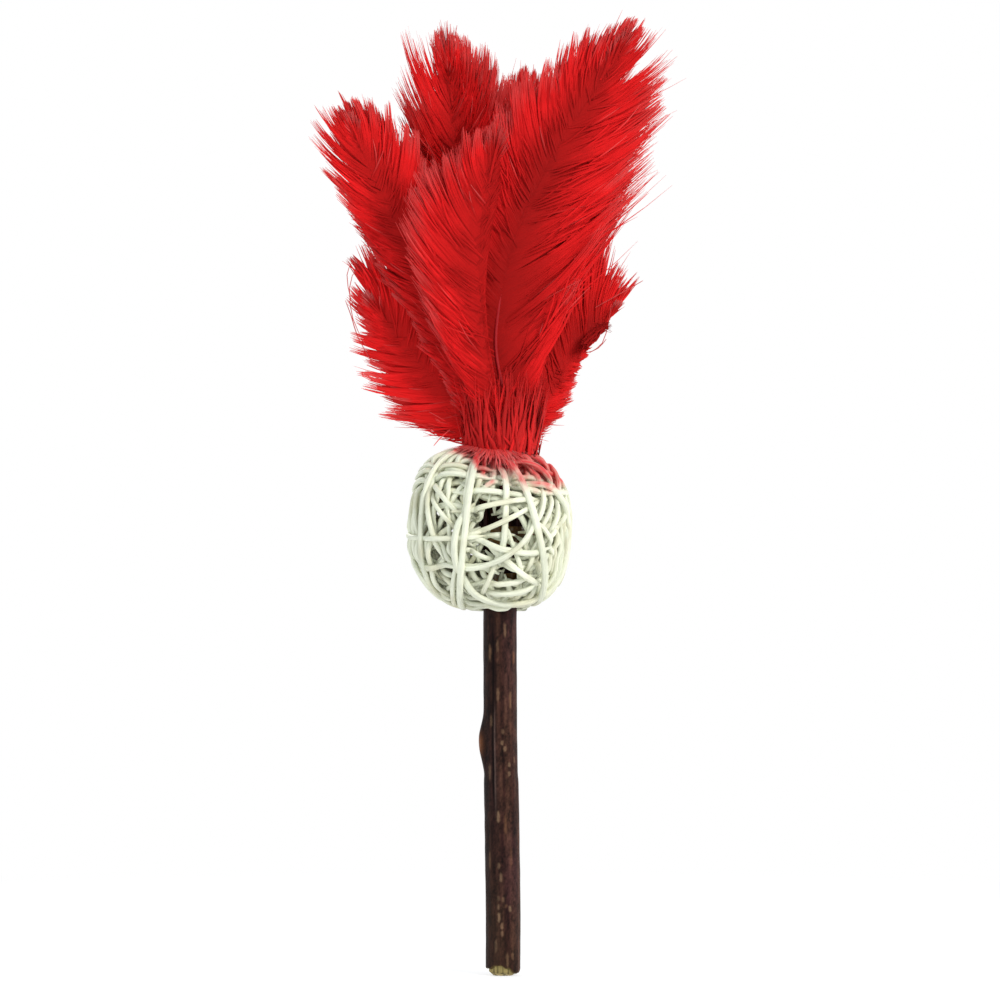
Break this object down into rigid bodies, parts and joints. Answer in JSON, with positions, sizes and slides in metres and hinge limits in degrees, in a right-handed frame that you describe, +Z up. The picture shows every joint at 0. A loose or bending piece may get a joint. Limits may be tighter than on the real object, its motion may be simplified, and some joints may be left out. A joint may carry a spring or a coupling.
{
  "type": "cat teaser wand",
  "caption": "Cat teaser wand: a length of natural branch with its bark on, a hollow wound rattan ball on its end, and a plume of red dyed feathers standing in the ball",
  "frame": {"origin": "the middle of the branch's sawn lower end", "axes": "+Z runs up the branch to the feathers, +X to the right and +Y away from someone who looks at the front; -Z points out of the sawn end"},
  "size_m": [0.0829, 0.0471, 0.2403],
  "materials": {
    "bark": "rough dark purple-brown bark with tan lenticels",
    "wood": "bare, sawn, unsealed",
    "rattan": "peeled and bleached, satin",
    "glue": "hot-melt glue, smooth",
    "quill": "feather shaft, dyed dark red, satin",
    "feather": "dyed red barbs, soft and downy"
  },
  "bodies": {
    "root": {"stick_wood": "wood", "stick_bark": "bark", "glue_fillet": "glue", "glue_band": "glue", "ball_strand_1": "rattan", "ball_strand_2": "rattan", "ball_strand_3": "rattan", "ball_strand_4": "rattan", "ball_strand_5": "rattan", "ball_strand_6": "rattan", "ball_strand_7": "rattan", "ball_strand_8": "rattan", "feather_front_shaft": "quill", "feather_front_vane": "feather", "feather_right_shaft": "quill", "feather_right_vane": "feather", "feather_left_shaft": "quill", "feather_left_vane": "feather", "feather_low_right_shaft": "quill", "feather_low_right_vane": "feather", "feather_low_left_shaft": "quill", "feather_low_left_vane": "feather", "feather_centre_shaft": "quill", "feather_centre_vane": "feather", "feather_mid_left_shaft": "quill", "feather_mid_left_vane": "feather"}
  },
  "joints": []
}
